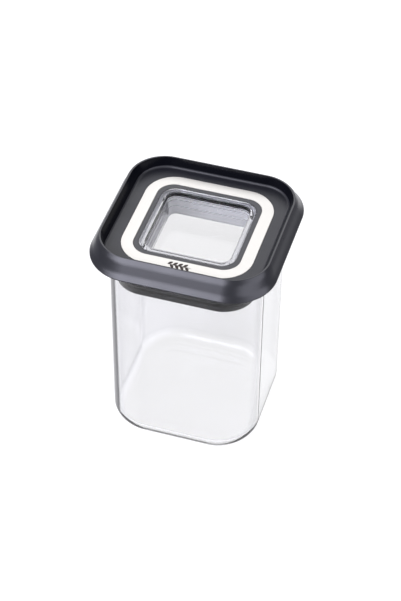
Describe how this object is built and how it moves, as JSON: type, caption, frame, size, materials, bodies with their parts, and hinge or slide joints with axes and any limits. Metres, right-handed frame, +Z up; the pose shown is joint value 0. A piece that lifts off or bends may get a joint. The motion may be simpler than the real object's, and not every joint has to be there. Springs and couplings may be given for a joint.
{
  "type": "lidded glass canister",
  "caption": "Square glass storage canister with rounded corners and a push-in stacking lid: flared skirt, raised rim, steel inlay ring and a sunk clear window.",
  "frame": {"origin": "centre of the jar's flat underside, on the table", "axes": "+Z up through the jar's mouth; +X to the right and -Y towards a person facing the front; the square sides face X and Y"},
  "size_m": [0.1058, 0.1056, 0.1406],
  "materials": {
    "jar_glass": "clear pressed soda-lime glass, fire polished",
    "lid_plastic": "anthracite moulded plastic, fine satin grain",
    "trim_steel": "brushed stainless sheet, light",
    "bond_film": "thin mounting adhesive",
    "clear_plastic": "clear moulded plastic, polished",
    "carrier_plastic": "natural milky moulded plastic",
    "seal_silicone": "dark grey silicone, dull"
  },
  "bodies": {
    "jar": {"glass_jar": "jar_glass"},
    "lid": {"lid_shell": "lid_plastic", "trim_ring": "trim_steel", "trim_adhesive": "bond_film", "window_cup": "clear_plastic", "seal_carrier": "carrier_plastic", "silicone_seal": "seal_silicone"}
  },
  "joints": [
    {"name": "lid_lift", "type": "slide", "parent": "jar", "child": "lid", "axis": [0, 0, 1], "range_m": [0, 0.045]}
  ]
}
